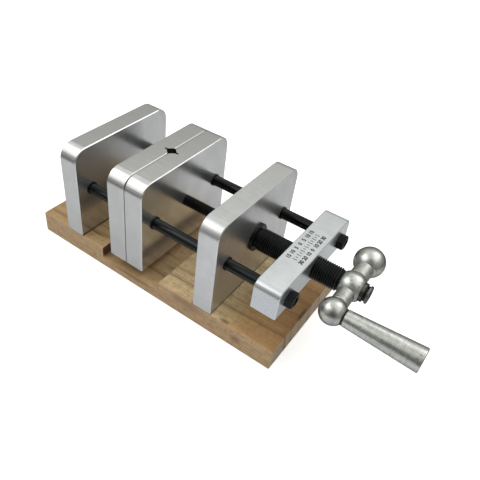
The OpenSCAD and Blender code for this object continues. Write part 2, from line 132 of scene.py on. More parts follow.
def new_piece(name, points, faces, body):
    """A piece from points in millimetres and faces, with doubles merged, faces outward and creases sharp."""
    mesh = bpy.data.meshes.new(name)
    mesh.from_pydata((np.asarray(points).reshape(-1, 3) * MM).tolist(), [], np.asarray(faces).tolist())
    finish_mesh(mesh, SHARP_ANGLE)
    piece = new_object(name, mesh)
    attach(piece, body)
    return piece


def finish_mesh(mesh, sharp):
    """Merges doubles, turns every face outwards and marks the edges that stay sharp, in degrees."""
    work = bmesh.new()
    work.from_mesh(mesh)
    bmesh.ops.remove_doubles(work, verts=work.verts, dist=DOUBLES_WITHIN)
    bmesh.ops.dissolve_degenerate(work, edges=work.edges, dist=DEGENERATE_WITHIN)
    bmesh.ops.recalc_face_normals(work, faces=work.faces)
    work.to_mesh(mesh)
    work.free()
    mesh.shade_smooth()
    mesh.set_sharp_from_angle(angle=math.radians(sharp))


def ring_faces(rows, columns):
    """Corner numbers of the quads between rows of points, each row closed into a ring."""
    row, column = np.meshgrid(np.arange(rows - 1), np.arange(columns), indexing="ij")
    after = (column + 1) % columns
    return np.stack([row * columns + column, row * columns + after, (row + 1) * columns + after,
                     (row + 1) * columns + column], -1).reshape(-1, 4)


def turned_points(along, radius, origin, axis, side):
    """A turned surface: origin + axis * along + radius * (side * cos a + (axis x side) * sin a)."""
    axis, side = np.array(axis, float), np.array(side, float)
    angle = np.linspace(0, 2 * np.pi, along.shape[1], endpoint=False)
    around = np.outer(np.cos(angle), side) + np.outer(np.sin(angle), np.cross(axis, side))
    return np.array(origin, float) + along[..., None] * axis + radius[..., None] * around


def outline_rows(outline, columns=COLUMNS):
    """An outline of [place, radius] points as two arrays with one row a point and one column an angle."""
    place, radius = np.array(outline, float).T
    return np.tile(place[:, None], columns), np.tile(radius[:, None], columns)


def thread_rows(start, end, crest, lead, chamfer_start, chamfer_end, columns=COLUMNS):
    """A screw thread as rows that follow the helix: place = start + (row / rows + angle / turn) * pitch,
    with the angle negative for a left-hand lead. The phase is 0 in the middle of the ridge and 1 in the
    middle of the groove, and the flank is a rounded step from one phase to another. Both ends run out
    under a 45 degree cone."""
    top_end, root_start, rounding = 0.125, 0.75, 0.4
    pitch = abs(lead)
    turn = np.linspace(0, 1, columns, endpoint=False)[None, :] * np.sign(lead)
    rows = np.arange(-THREAD_ROWS, int((end - start) / pitch + 2) * THREAD_ROWS)[:, None] / THREAD_ROWS
    place = start + (rows + turn) * pitch
    phase = np.abs((rows % 1) - 0.5) * 2
    step = np.clip((root_start - phase) / (root_start - top_end), 0, 1)
    ridge = (1 - rounding) * step + rounding * step * step * (3 - 2 * step)
    radius = crest - THREAD_DEPTH * (1 - ridge) + 0 * turn
    place = np.clip(place, start, end)
    cone = np.minimum(chamfer_start + place - start, chamfer_end + end - place)
    return place, np.minimum(radius, cone)


def turned_piece(name, parts, origin, axis, side, body, slot):
    """A piece turned from several outlines or threads in a row."""
    along, radius = (np.concatenate(arrays) for arrays in zip(*parts))
    points = turned_points(along, radius, origin, axis, side)
    return new_piece(name, points, ring_faces(*along.shape), body)


def arc(centre, radius, start, end, steps):
    """Points [centre + radius * cos a, radius * sin a] of an arc from one angle a to another, in degrees."""
    angle = np.radians(np.linspace(start, end, steps))
    return np.stack([centre + radius * np.cos(angle), radius * np.sin(angle)], 1)


# Threads

def make_spindle():
    """The hollow spindle as one outline of [place, radius] points: from the end of its bore back round the
    journal, over the ring's groove and the collar, along the right-hand thread and round the tenon
    into the hole for the crank's screw."""
    back, journal, bevel = 37.9, 6, 0.4
    bore, bore_end = 4.05, 101.85
    ring, ring_start, ring_end = 5.3, 38.88, 39.92
    collar, collar_start, collar_end, edge = 10.2, 56.7, 58.6, 0.2
    root, end_chamfer, thread_start, thread_end = 6.9, 7.2, 60.2, 119.6
    tenon, tenon_end, hole, hole_end = 4, 134.12, 2.02, 125.04
    inner = [(bore_end, 0), (bore_end, bore), (back, bore), (back, journal - bevel), (back + bevel, journal),
             (ring_start, journal), (ring_start, ring), (ring_end, ring), (ring_end, journal),
             (collar_start, journal), (collar_start, collar - edge), (collar_start + edge, collar),
             (collar_end - edge, collar), (collar_end, collar - edge), (collar_end, root),
             (thread_start, root)]
    thread = thread_rows(thread_start, thread_end, SPINDLE_CREST, PITCH, root, end_chamfer)
    outer = [(thread_end, tenon), (tenon_end, tenon), (tenon_end, hole), (hole_end, hole), (hole_end, 0)]
    piece = turned_piece("spindle", [outline_rows(inner), thread, outline_rows(outer)], *ON_SPINDLE,
                         "spindle", "black_steel")
    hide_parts("spindle_sleeve")
    return piece


def make_draw_screw():
    """The draw screw: a plain seat in the front jaw and a left-hand thread that runs into the spindle."""
    seat_start, seat_end, thread_start, thread_end = -11.78, -4.2, -3.8, 75.6
    crest, root, end_chamfer = 4.0, 3.2, 3.1
    seat = [(seat_start, 0), (seat_start, crest), (seat_end, crest), (thread_start, root)]
    parts = [outline_rows(seat, DRAW_SCREW_COLUMNS),
             thread_rows(thread_start, thread_end, crest, -PITCH, root, end_chamfer, DRAW_SCREW_COLUMNS),
             outline_rows([(thread_end, 0)], DRAW_SCREW_COLUMNS)]
    piece = turned_piece("draw_screw_threaded", parts, *ON_SPINDLE, "front_jaw", "black_steel")
    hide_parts("draw_screw")
    return piece


# Crank

def cut(piece, *cutters):
    """Cuts other pieces out of a piece, and keeps the result as plain mesh."""
    for cutter in cutters:
        modifier = piece.modifiers.new("cut", "BOOLEAN")
        modifier.object = cutter
        modifier.operation = "DIFFERENCE"
        modifier.solver = "EXACT"
    bpy.context.view_layer.update()
    done = bpy.data.meshes.new_from_object(piece.evaluated_get(bpy.context.evaluated_depsgraph_get()))
    piece.modifiers.clear()
    piece.data = done
    for cutter in cutters:
        bpy.data.objects.remove(cutter)


def block(low, high):
    """A box between two corners in millimetres, used as a cutter."""
    corners = np.array([[(low, high)[(i >> axis) & 1][axis] for axis in range(3)] for i in range(8)], float)
    faces = [(0, 2, 3, 1), (4, 5, 7, 6), (0, 1, 5, 4), (2, 6, 7, 3), (0, 4, 6, 2), (1, 3, 7, 5)]
    mesh = bpy.data.meshes.new("cutter")
    mesh.from_pydata((corners * MM).tolist(), [], faces)
    return new_object("cutter", mesh)


def tilted(points):
    """Points turned by the crank's rest angle about the spindle's axis."""
    c, s = math.cos(CRANK_TILT), math.sin(CRANK_TILT)
    y, z = points[..., 1], points[..., 2] - AXIS_HEIGHT
    return np.stack([points[..., 0], c * y - s * z, AXIS_HEIGHT + s * y + c * z], -1)


def make_crank_arm():
    """Three balls and two necks turned on one axis: each ball is a circle's arc, and each neck starts in
    a shallow groove where it leaves a ball. The washers' and grip's flats are cut off afterwards."""
    hub, grip, weight = 9.9, 8.8, 10.5
    grip_neck, weight_neck, groove, run = 5.7, 6.3, 0.25, 0.35

    def meets(ball, radius):
        """The angle on a ball where a neck's groove starts: asin(groove's radius / ball's)."""
        return math.degrees(math.asin((radius - groove) / ball))

    def edge(ball, radius):
        """How far from the ball's middle that is: sqrt(ball's radius squared - groove's squared)."""
        return math.sqrt(ball ** 2 - (radius - groove) ** 2)

    def neck(start, end, radius):
        """A neck's outline between its two grooves."""
        return np.array([(start, radius - groove), (start + run, radius), (end - run, radius),
                         (end, radius - groove)])

    outline = np.concatenate([
        arc(-GRIP_ARM, grip, 180, meets(grip, grip_neck), 56),
        neck(-GRIP_ARM + edge(grip, grip_neck), -edge(hub, grip_neck), grip_neck),
        arc(0, hub, 180 - meets(hub, grip_neck), meets(hub, weight_neck), 48),
        neck(edge(hub, weight_neck), WEIGHT_ARM - edge(weight, weight_neck), weight_neck),
        arc(WEIGHT_ARM, weight, 180 - meets(weight, weight_neck), 0, 60)])
    piece = turned_piece("crank_arm_turned", [outline_rows(outline, CRANK_COLUMNS)], (HUB_X, 0, AXIS_HEIGHT),
                         (0, 1, 0), (0, 0, 1), "spindle", "turned_steel")
    # The cutters reach well past the balls; the one in front takes the flats of both hub and grip ball
    flat, deep, beside_hub, past_grip, low, high = HUB_X + HUB_FLAT, 20, 10, -37, 40, 70
    cut(piece, block((HUB_X - deep, -beside_hub, low), (HUB_X - HUB_BACK, beside_hub, high)),
        block((flat, past_grip, low), (flat + deep, beside_hub, high)))
    points = np.empty(len(piece.data.vertices) * 3)
    piece.data.vertices.foreach_get("co", points)
    piece.data.vertices.foreach_set("co", (tilted(points.reshape(-1, 3) / MM) * MM).ravel())
    finish_mesh(piece.data, CRANK_SHARP_ANGLE)
    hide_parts("crank_arm")
    return piece


# Scale on the pull bar

def make_bar_scale():
    """A plain millimetre scale on the bar's top: two rows of numbers and a row of ticks between them.
    Each tick is a bar's eight corners, at place + (x, y, z) for every place in millimetres, and every
    other tick is long."""
    size, thick, bold = 3.8, 0.02, 0.15
    rows = ((88.2, ("15", "10", "5", "0", "5", "10", "15")),
            (97.2, ("30", "20", "10", "0", "10", "20", "30")))
    number_step, tick_row, tick_step, long_reach, short_reach, half_width = 5, 92.7, 2.5, 1.6, 0.9, 0.26
    across = Matrix.Rotation(math.pi / 2, 4, "Z")
    work = bmesh.new()
    for x, numbers in rows:
        for i, number in enumerate(numbers):
            curve = bpy.data.curves.new("number", "FONT")
            curve.body = number
            curve.size = size * MM
            curve.align_x, curve.align_y = "CENTER", "CENTER"
            curve.extrude = thick * MM
            curve.offset = bold * MM
            text = new_object("number", curve)
            bpy.context.view_layer.update()
            mesh = bpy.data.meshes.new_from_object(text.evaluated_get(bpy.context.evaluated_depsgraph_get()))
            place = Vector((x, number_step * (i - len(numbers) // 2), BAR_TOP))
            mesh.transform(Matrix.Translation(place * MM) @ across)
            work.from_mesh(mesh)
            bpy.data.objects.remove(text)
            bpy.data.meshes.remove(mesh)
    places = np.arange(-6, 7) * tick_step
    reach = np.where(places % number_step == 0, long_reach, short_reach)
    corner = np.array([(x, y, z) for z in (-1, 1) for x, y in ((-1, -1), (1, -1), (1, 1), (-1, 1))], float)
    points = corner[None] * np.stack([reach, 0 * reach + half_width, 0 * reach + thick], -1)[:, None]
    points += np.stack([0 * places + tick_row, places, 0 * places + BAR_TOP], -1)[:, None]
    sides = np.array([(3, 2, 1, 0), (4, 5, 6, 7), (0, 1, 5, 4), (1, 2, 6, 5), (2, 3, 7, 6), (3, 0, 4, 7)])
    faces = (np.arange(len(places))[:, None, None] * 8 + sides).reshape(-1, 4)
    ticks = bpy.data.meshes.new("ticks")
    ticks.from_pydata((points.reshape(-1, 3) * MM).tolist(), [], faces.tolist())
    work.from_mesh(ticks)
    bpy.data.meshes.remove(ticks)
    mesh = bpy.data.meshes.new("bar_scale")
    work.to_mesh(mesh)
    work.free()
    piece = new_object("bar_scale", mesh)
    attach(piece, "pull_frame")
    return piece


# Node trees

# The span that most of a noise's values lie in
NOISE_SPAN = {"From Min": 0.3, "From Max": 0.7}


def linear(hex_colour):
    """An sRGB hex colour as linear RGBA."""
    channels = [int(hex_colour[i:i + 2], 16) / 255 for i in (1, 3, 5)]
    return tuple(c / 12.92 if c <= 0.04045 else ((c + 0.055) / 1.055) ** 2.4 for c in channels) + (1.0,)


def add(tree, kind, inputs=(), stops=(), **settings):
    """Adds a node with its settings and colour stops, and sets or links its inputs by name or number."""
    made = tree.nodes.new("ShaderNode" + kind)
    for name, value in settings.items():
        setattr(made, name, value)
    for i, (place, colour) in enumerate(stops):
        ramp = made.color_ramp.elements
        stop = ramp[i] if i < 2 else ramp.new(place)
        stop.position = place
        stop.color = colour if isinstance(colour, tuple) else (colour, colour, colour, 1.0)
    for key, value in dict(inputs).items():
        socket = made.inputs[key] if isinstance(key, int) else next(
            s for s in made.inputs if s.enabled and s.name == key)
        if isinstance(value, bpy.types.Node):
            value = next(s for s in value.outputs if s.enabled)
        if isinstance(value, bpy.types.NodeSocket):
            tree.links.new(value, socket)
        else:
            socket.default_value = value
    return made


def new_material(name):
    """A material with its empty node tree, place in millimetres and the direction that a face looks in."""
    made = bpy.data.materials.new(name)
    made.use_nodes = True
    tree = made.node_tree
    tree.nodes.clear()
    coordinates = add(tree, "TexCoord")
    place = add(tree, "Mapping", {"Vector": coordinates.outputs["Object"], "Scale": (1 / MM,) * 3})
    faces = add(tree, "VectorMath", {0: coordinates.outputs["Normal"]}, operation="ABSOLUTE")
    return made, tree, place, add(tree, "SeparateXYZ", {0: faces}).outputs


# Materials

# Roughness ranges: steel, bar and bearing plate are satin, and the jaws and rear plate ground a little finer
SATIN = 0.28, 0.35
FINE_SATIN = 0.19, 0.25
SAWN_ROUGHNESS = 0.5


def brushed_aluminium(name, sawn=False, jaw=False, tint="#D8D8D8", roughness=SATIN):
    """Aluminium plate, fine brushed and handled: satin, so that rods mirror in it and blur with distance.
    The lines run along Z on the broad faces and along X on the narrow ones. Real lines are about 0.05 mm
    wide; they are drawn 0.6 mm wide so that they show. Faint cloudy smudges lie over them, and the oxide
    scatters a little light. The bevels are painted brighter, a painted highlight. Sawn ends are rougher
    and speckled. On the jaws, the milled V grooves are darkened as painted shade, and the bevels where
    the jaws meet are darkened as painted shade in the gap between them."""
    bevel_look, bevel_highlight, clamping_reach = 0.707, 0.1, 0.23
    made, tree, place, faces = new_material(name)
    stretched = add(tree, "Mapping", {"Vector": place, "Scale": (1 / 30, 1 / 0.6, 1 / 60)})
    upright = add(tree, "TexNoise", {"Vector": stretched, "Scale": 1.0, "Detail": 1.0})
    stretched = add(tree, "Mapping", {"Vector": place, "Scale": (1 / 40, 1 / 0.6, 1 / 0.6)})
    level = add(tree, "TexNoise", {"Vector": stretched, "Scale": 1.0, "Detail": 1.0})
    lines = add(tree, "Mix", {"Factor": faces[0], "A": level, "B": upright})
    stretched = add(tree, "Mapping", {"Vector": place, "Scale": (1 / 9, 1 / 9, 1 / 14)})
    clouds = add(tree, "TexNoise", {"Vector": stretched, "Scale": 1.0, "Detail": 3.0, "Roughness": 0.55})
    rough = add(tree, "MapRange", {"Value": clouds, **NOISE_SPAN, "To Min": roughness[0],
                                   "To Max": roughness[1]})
    lighter = add(tree, "MapRange", {"Value": lines, **NOISE_SPAN, "To Min": 0.94, "To Max": 1.02})
    smudge = add(tree, "MapRange", {"Value": clouds, "From Min": 0.35, "From Max": 0.7, "To Min": 1.02,
                                    "To Max": 0.93})
    tone = add(tree, "Math", {0: lighter, 1: smudge}, operation="MULTIPLY")
    # A bevel looks halfway between X and another axis; its tone is raised there as a painted highlight
    slope = add(tree, "Math", {0: faces[0], 1: bevel_look, 2: 0.1}, operation="COMPARE")
    tone = add(tree, "Math", {0: slope, 1: bevel_highlight, 2: tone}, operation="MULTIPLY_ADD")
    if jaw:
        split = add(tree, "SeparateXYZ", {0: place}).outputs
        apart = add(tree, "Math", {0: split[0], 1: -JAWS_MEET}, operation="ADD")
        apart = add(tree, "Math", {0: apart}, operation="ABSOLUTE")
        # The clamping faces lie 0.2 mm to each side and are left plain; the bevels outside them are darkened
        # as painted shade in the gap where the jaws meet
        gap_shade = add(tree, "MapRange", {"Value": apart, "From Min": 0.3, "From Max": 0.65, "To Min": 0.3,
                                        "To Max": 1.0})
        flat = add(tree, "Math", {0: apart, 1: clamping_reach}, operation="LESS_THAN")
        gap_shade = add(tree, "Math", {0: gap_shade, 1: flat}, operation="MAXIMUM")
        # The V grooves' walls near the middle, where the jaws meet, are darkened as painted shade; broad
        # faces are left out
        middle = add(tree, "Math", {0: split[1]}, operation="ABSOLUTE")
        groove = add(tree, "Math", {0: middle, 1: apart}, operation="MAXIMUM")
        groove = add(tree, "MapRange", {"Value": groove, "From Min": 7.0, "From Max": 7.5, "To Min": 0.35,
                                        "To Max": 1.0})
        broad = add(tree, "Math", {0: faces[2], 1: 0.5}, operation="GREATER_THAN")
        groove = add(tree, "Math", {0: groove, 1: broad}, operation="MAXIMUM")
        tone = add(tree, "Math", {0: tone, 1: gap_shade}, operation="MULTIPLY")
        tone = add(tree, "Math", {0: tone, 1: groove}, operation="MULTIPLY")
    bumps = {}
    if sawn:
        end = add(tree, "MapRange", {"Value": faces[1], "From Min": 0.97, "From Max": 0.995})
        stretched = add(tree, "Mapping", {"Vector": place, "Scale": (1 / 0.9, 1, 1 / 1.6)})
        specks = add(tree, "TexNoise", {"Vector": stretched, "Scale": 1.0, "Detail": 3.0, "Roughness": 0.7})
        speckled = add(tree, "MapRange", {"Value": specks, "From Min": 0.35, "From Max": 0.65, "To Min": 0.84,
                                          "To Max": 1.06})
        tone = add(tree, "Mix", {"Factor": end, "A": tone, "B": speckled})
        rough = add(tree, "Mix", {"Factor": end, "A": rough, "B": SAWN_ROUGHNESS})
        ridge = add(tree, "Math", {0: end, 1: specks}, operation="MULTIPLY")
        bumps["Normal"] = add(tree, "Bump", {"Height": ridge, "Distance": 0.03 * MM, "Strength": 1.0})
    colour = add(tree, "Mix", {"Factor": 1.0, "A": linear(tint), "B": tone}, data_type="RGBA",
                 blend_type="MULTIPLY")
    shader = add(tree, "BsdfPrincipled", {"Base Color": colour, "Metallic": 0.9, "Roughness": rough, **bumps})
    add(tree, "OutputMaterial", {0: shader})
    return made


def turned_steel(name, along, tint="#D8D9D4", apart=0.45, streaked=False, necks=False):
    """Mild steel off the lathe, satin grey: fine rings round the turning axis, small pits and dull
    patches. Real rings are about 0.1 mm apart; they are drawn 0.45 mm or more apart so that they show.
    A streaked piece also has rubbed lines along its axis. On the crank arm the necks between the balls
    are duller, from a coarser cut. The tint at grazing angles is dark, as on satin steel."""
    neck_reach, neck_rougher, pit_depth = 20.0, 0.16, 1.5
    made, tree, place, _ = new_material(name)
    size = [1 / 30] * 3
    size[along] = 1 / apart
    stretched = add(tree, "Mapping", {"Vector": place, "Scale": size})
    rings = add(tree, "TexNoise", {"Vector": stretched, "Scale": 1.0, "Detail": 3.0, "Roughness": 0.65})
    cells = add(tree, "TexVoronoi", {"Vector": place, "Scale": 0.22})
    pits = add(tree, "MapRange", {"Value": cells, "From Min": 0.05, "From Max": 0.2})
    stretched = add(tree, "Mapping", {"Vector": place, "Scale": (1 / 2.5,) * 3})
    clouds = add(tree, "TexNoise", {"Vector": stretched, "Scale": 1.0, "Detail": 4.0, "Roughness": 0.6})
    rough = add(tree, "MapRange", {"Value": clouds, **NOISE_SPAN, "To Min": SATIN[0], "To Max": SATIN[1]})
    ringed = add(tree, "MapRange", {"Value": rings, "From Min": 0.32, "From Max": 0.68, "To Min": 0.72,
                                    "To Max": 1.06})
    patched = add(tree, "MapRange", {"Value": clouds, **NOISE_SPAN, "To Min": 0.76, "To Max": 1.04})
    pitted = add(tree, "MapRange", {"Value": pits, "To Min": 0.6, "To Max": 1.0})
    tone = add(tree, "Math", {0: ringed, 1: patched}, operation="MULTIPLY")
    tone = add(tree, "Math", {0: tone, 1: pitted}, operation="MULTIPLY")
    if streaked:
        size = [1 / 1.1] * 3
        size[along] = 1 / 45
        stretched = add(tree, "Mapping", {"Vector": place, "Scale": size})
        rubbed = add(tree, "TexNoise", {"Vector": stretched, "Scale": 1.0, "Detail": 2.0})
        rubbed = add(tree, "MapRange", {"Value": rubbed, "From Min": 0.35, "From Max": 0.65, "To Min": 0.84,
                                        "To Max": 1.04})
        tone = add(tree, "Math", {0: tone, 1: rubbed}, operation="MULTIPLY")
    if necks:
        # Near the arm's axis, and short of the outer balls' far ends
        across = add(tree, "Mapping", {"Vector": place, "Location": (-HUB_X, 0, -AXIS_HEIGHT),
                                       "Scale": (1, 0, 1)})
        away = add(tree, "VectorMath", {0: across}, operation="LENGTH").outputs["Value"]
        thin = add(tree, "MapRange", {"Value": away, "From Min": 7.2, "From Max": 6.6})
        beside = add(tree, "SeparateXYZ", {0: place}).outputs[1]
        beside = add(tree, "Math", {0: beside}, operation="ABSOLUTE")
        neck = add(tree, "Math", {0: beside, 1: neck_reach}, operation="LESS_THAN")
        neck = add(tree, "Math", {0: neck, 1: thin}, operation="MULTIPLY")
        rough = add(tree, "Math", {0: neck, 1: neck_rougher, 2: rough}, operation="MULTIPLY_ADD")
        dulled = add(tree, "MapRange", {"Value": neck, "To Min": 1.0, "To Max": 0.88})
        tone = add(tree, "Math", {0: tone, 1: dulled}, operation="MULTIPLY")
    colour = add(tree, "Mix", {"Factor": 1.0, "A": linear(tint), "B": tone}, data_type="RGBA",
                 blend_type="MULTIPLY")
    height = add(tree, "Math", {0: pits, 1: pit_depth, 2: rings}, operation="MULTIPLY_ADD")
    raised = add(tree, "Bump", {"Height": height, "Distance": 0.018 * MM, "Strength": 1.0})
    shader = add(tree, "BsdfPrincipled", {"Base Color": colour, "Metallic": 1.0, "Roughness": rough,
                                          "Specular Tint": linear("#8E8E8E"), "Normal": raised})
    add(tree, "OutputMaterial", {0: shader})
    return made


def black_oxide_steel(name, along=None, roughness=(0.3, 0.46), worn_tone="#111517", crest=None):
    """Steel blackened in a hot bath and oiled: near black, with a soft sheen. A ground rod, given the
    axis it lies along, is glossier in streaks along itself, about 0.6 mm wide. A thread round the
    spindle's axis, given its outer radius, is paler on its crests, partly rubbed by wear and partly a
    painted highlight."""
    pale_crest_depth, crest_wear_and_glint, clear = 0.35, 0.16, 0.1
    made, tree, place, _ = new_material(name)
    size = [1 / 4] * 3
    if along is not None:
        size = [1 / 0.6] * 3
        size[along] = 1 / 50
    stretched = add(tree, "Mapping", {"Vector": place, "Scale": size})
    worn = add(tree, "TexNoise", {"Vector": stretched, "Scale": 1.0, "Detail": 3.0, "Roughness": 0.55})
    rough = add(tree, "MapRange", {"Value": worn, **NOISE_SPAN, "To Min": roughness[0],
                                   "To Max": roughness[1]})
    share = add(tree, "MapRange", {"Value": worn, "From Min": 0.44, "From Max": 0.64})
    colour = add(tree, "Mix", {"Factor": share, "A": linear("#030404"), "B": linear(worn_tone)},
                 data_type="RGBA")
    # A thread's crests are paler, partly from wear and partly as a painted highlight
    if crest is not None:
        across = add(tree, "Mapping", {"Vector": place, "Location": (0, 0, -AXIS_HEIGHT), "Scale": (0, 1, 1)})
        away = add(tree, "VectorMath", {0: across}, operation="LENGTH").outputs["Value"]
        share = add(tree, "MapRange", {"Value": away, "From Min": crest - pale_crest_depth,
                                       "From Max": crest - 0.05, "To Max": crest_wear_and_glint})
        inner = add(tree, "Math", {0: away, 1: crest + clear}, operation="LESS_THAN")
        share = add(tree, "Math", {0: share, 1: inner}, operation="MULTIPLY")
        colour = add(tree, "Mix", {"Factor": share, "A": colour, "B": linear("#5E6062")}, data_type="RGBA")
    bumps = {}
    if along is not None:
        bumps["Normal"] = add(tree, "Bump", {"Height": worn, "Distance": 0.04 * MM, "Strength": 1.0})
    shader = add(tree, "BsdfPrincipled", {"Base Color": colour, "Roughness": rough,
                                          "Specular IOR Level": 0.26, **bumps})
    add(tree, "OutputMaterial", {0: shader})
    return made


def marking_black(name):
    """Numbers burnt into the metal by a laser: a dull black oxide with a faint grain."""
    made, tree, place, _ = new_material(name)
    grain = add(tree, "TexNoise", {"Vector": place, "Scale": 2.0, "Detail": 2.0})
    rough = add(tree, "MapRange", {"Value": grain, "To Min": 0.6, "To Max": 0.8})
    colour = add(tree, "Mix", {"Factor": grain, "A": linear("#050505"), "B": linear("#141414")},
                 data_type="RGBA")
    shader = add(tree, "BsdfPrincipled", {"Base Color": colour, "Specular IOR Level": 0.15,
                                          "Roughness": rough})
    add(tree, "OutputMaterial", {0: shader})
    return made


def bearing_bronze(name):
    """Machined bearing bronze: warm yellow-brown metal with soft turning marks about 0.4 mm apart."""
    made, tree, place, _ = new_material(name)
    stretched = add(tree, "Mapping", {"Vector": place, "Scale": (1 / 0.4, 1 / 12, 1 / 12)})
    rings = add(tree, "TexNoise", {"Vector": stretched, "Scale": 1.0, "Detail": 2.0})
    rough = add(tree, "MapRange", {"Value": rings, **NOISE_SPAN, "To Min": 0.3, "To Max": 0.42})
    colour = add(tree, "Mix", {"Factor": rings, "A": linear("#A8763C"), "B": linear("#C08E50")},
                 data_type="RGBA")
    shader = add(tree, "BsdfPrincipled", {"Base Color": colour, "Metallic": 1.0, "Roughness": rough})
    add(tree, "OutputMaterial", {0: shader})
    return made


def black_nylon(name):
    """Turned black nylon: dull, with a grain of about 0.5 mm."""
    made, tree, place, _ = new_material(name)
    grain = add(tree, "TexNoise", {"Vector": place, "Scale": 2.0, "Detail": 2.0})
    rough = add(tree, "MapRange", {"Value": grain, **NOISE_SPAN, "To Min": 0.5, "To Max": 0.62})
    colour = add(tree, "Mix", {"Factor": grain, "A": linear("#0A0A0B"), "B": linear("#161617")},
                 data_type="RGBA")
    shader = add(tree, "BsdfPrincipled", {"Base Color": colour, "Roughness": rough})
    add(tree, "OutputMaterial", {0: shader})
    return made


def laminated_hardwood(name):
    """Light hardwood, planed and oiled. Growth rings are planes that lean a little from Z and cross the
    board at a slight angle to X, so that they show as long dark lines on top and upright ones at the
    ends. The top is yellow-beige and turns browner to the right. It is painted paler between the front
    jaw and the bearing plate and just past the bearing plate's foot, painted light over the shade there,
    and dark under and along the plates' feet, painted shade where they stand on the board. Level faces
    low in the groove are darker, painted shade. The sides are pinkish with slanting saw marks, the ends
    grey, and the walls of the groove burnt by the cutter. Fibres are drawn 0.9 mm wide, coarser than
    real ones, so that they show."""
    half_length, groove_within, groove_below = 105, 90.0, 12.0
    across_rings, sway, first, last = (-0.038, 1.0, 0.21), 9.0, -46, 60
    end_rings, ragged, pore_strength = 0.15, 1.1, 0.6
    made, tree, place, faces = new_material(name)
    split = add(tree, "SeparateXYZ", {0: place}).outputs

    # Patterns
    stretched = add(tree, "Mapping", {"Vector": place, "Scale": (1 / 70, 1 / 22, 1 / 22)})
    wander = add(tree, "TexNoise", {"Vector": stretched, "Scale": 1.0, "Detail": 2.0})
    lean = add(tree, "VectorMath", {0: place, 1: across_rings}, operation="DOT_PRODUCT").outputs["Value"]
    ring = add(tree, "Math", {0: wander, 1: sway, 2: lean}, operation="MULTIPLY_ADD")
    ring = add(tree, "MapRange", {"Value": ring, "From Min": first, "From Max": last})
    growth = [(-46, 0.1), (-38, 0.3), (-30.5, 0.15), (-28.4, 0.45), (-27.6, 1.0), (-26.2, 0.5), (-23, 0.1),
              (-19, 0.3), (-17.6, 0.62), (-16.6, 0.2), (-10, 0.1), (-6.2, 0.5), (-4.8, 0.15), (3, 0.2),
              (7.6, 0.55), (9.2, 0.1), (17, 0.25), (19.8, 0.65), (21.5, 0.2), (29, 0.1), (33, 0.5),
              (34.5, 0.15), (43, 0.5), (44.5, 0.1), (60, 0.3)]
    rings = add(tree, "ValToRGB", {"Fac": ring}, [((r - first) / (last - first), tone) for r, tone in growth])
    stretched = add(tree, "Mapping", {"Vector": place, "Rotation": (0, 0, math.radians(-2.2)),
                                      "Scale": (1 / 26, 1 / 0.9, 1 / 0.9)})
    fibres = add(tree, "TexNoise", {"Vector": stretched, "Scale": 1.0, "Detail": 3.0, "Roughness": 0.6})
    stretched = add(tree, "Mapping", {"Vector": place, "Scale": (1 / 3.4, 1 / 4.5, 1 / 4.5)})
    mottle = add(tree, "TexNoise", {"Vector": stretched, "Scale": 1.0, "Detail": 4.0, "Roughness": 0.7})
    stretched = add(tree, "Mapping", {"Vector": place, "Rotation": (0, math.radians(38), 0),
                                      "Scale": (1 / 14, 1 / 14, 1 / 0.9)})
    sawing = add(tree, "TexNoise", {"Vector": stretched, "Scale": 1.0, "Detail": 3.0, "Roughness": 0.6})
    stretched = add(tree, "Mapping", {"Vector": place, "Scale": (1 / 3.4, 1 / 0.45, 1 / 0.45)})
    pores = add(tree, "TexNoise", {"Vector": stretched, "Scale": 1.0, "Detail": 1.0})
    pores = add(tree, "MapRange", {"Value": pores, "From Min": 0.66, "From Max": 0.75})

    # Tones of the top, sides and ends, with painted light and painted shade on the top
    along = add(tree, "MapRange", {"Value": split[0], "From Min": -half_length, "From Max": half_length})
    # The paler stops from 12 to 57.2 mm are painted light over the shade between the front jaw and the
    # bearing plate and just past its foot
    foot_shade = "#33261A"
    # The dark bands at the rear and bearing plates' feet are painted shade where the plates stand on the
    # board
    top_tones = [(-105, "#C0A074"), (-79.6, "#D2B180"), (-79.2, foot_shade), (-63.1, foot_shade), (-62.7, "#D8B683"),
                 (12, "#FFE2B0"), (40.5, "#FFE1AF"), (41, foot_shade), (56.9, foot_shade), (57.2, "#FFE8B6"),
                 (76, "#E0B780"), (105, "#BA9163")]
    top_tones = [((x + half_length) / (2 * half_length), linear(tone)) for x, tone in top_tones]
    top = add(tree, "ValToRGB", {"Fac": along}, top_tones)
    side_share = add(tree, "MapRange", {"Value": faces[1], "From Min": 0.6, "From Max": 0.8})
    end_share = add(tree, "MapRange", {"Value": faces[0], "From Min": 0.6, "From Max": 0.8})
    pale = add(tree, "Mix", {"Factor": side_share, "A": top, "B": linear("#E4C29A")}, data_type="RGBA")
    pale = add(tree, "Mix", {"Factor": end_share, "A": pale, "B": linear("#D4BFA6")}, data_type="RGBA")

    # Fibres or saw marks, mottling and growth rings over them
    marks = add(tree, "Mix", {"Factor": side_share, "A": fibres, "B": sawing})
    marks = add(tree, "MapRange", {"Value": marks, "From Min": 0.42, "From Max": 0.7, "To Max": 0.44})
    tone = add(tree, "Mix", {"Factor": marks, "A": pale, "B": linear("#98704A")}, data_type="RGBA")
    spots = add(tree, "MapRange", {"Value": mottle, "From Min": 0.46, "From Max": 0.72, "To Max": 0.42})
    tone = add(tree, "Mix", {"Factor": spots, "A": tone, "B": linear("#946F48")}, data_type="RGBA")
    faint = add(tree, "MapRange", {"Value": side_share, "To Min": 0.62, "To Max": 0.16})
    faint = add(tree, "Math", {0: end_share, 1: end_rings, 2: faint}, operation="MULTIPLY_ADD")
    share = add(tree, "Math", {0: rings, 1: faint}, operation="MULTIPLY")
    tone = add(tree, "Mix", {"Factor": share, "A": tone, "B": linear("#704C2C")}, data_type="RGBA")

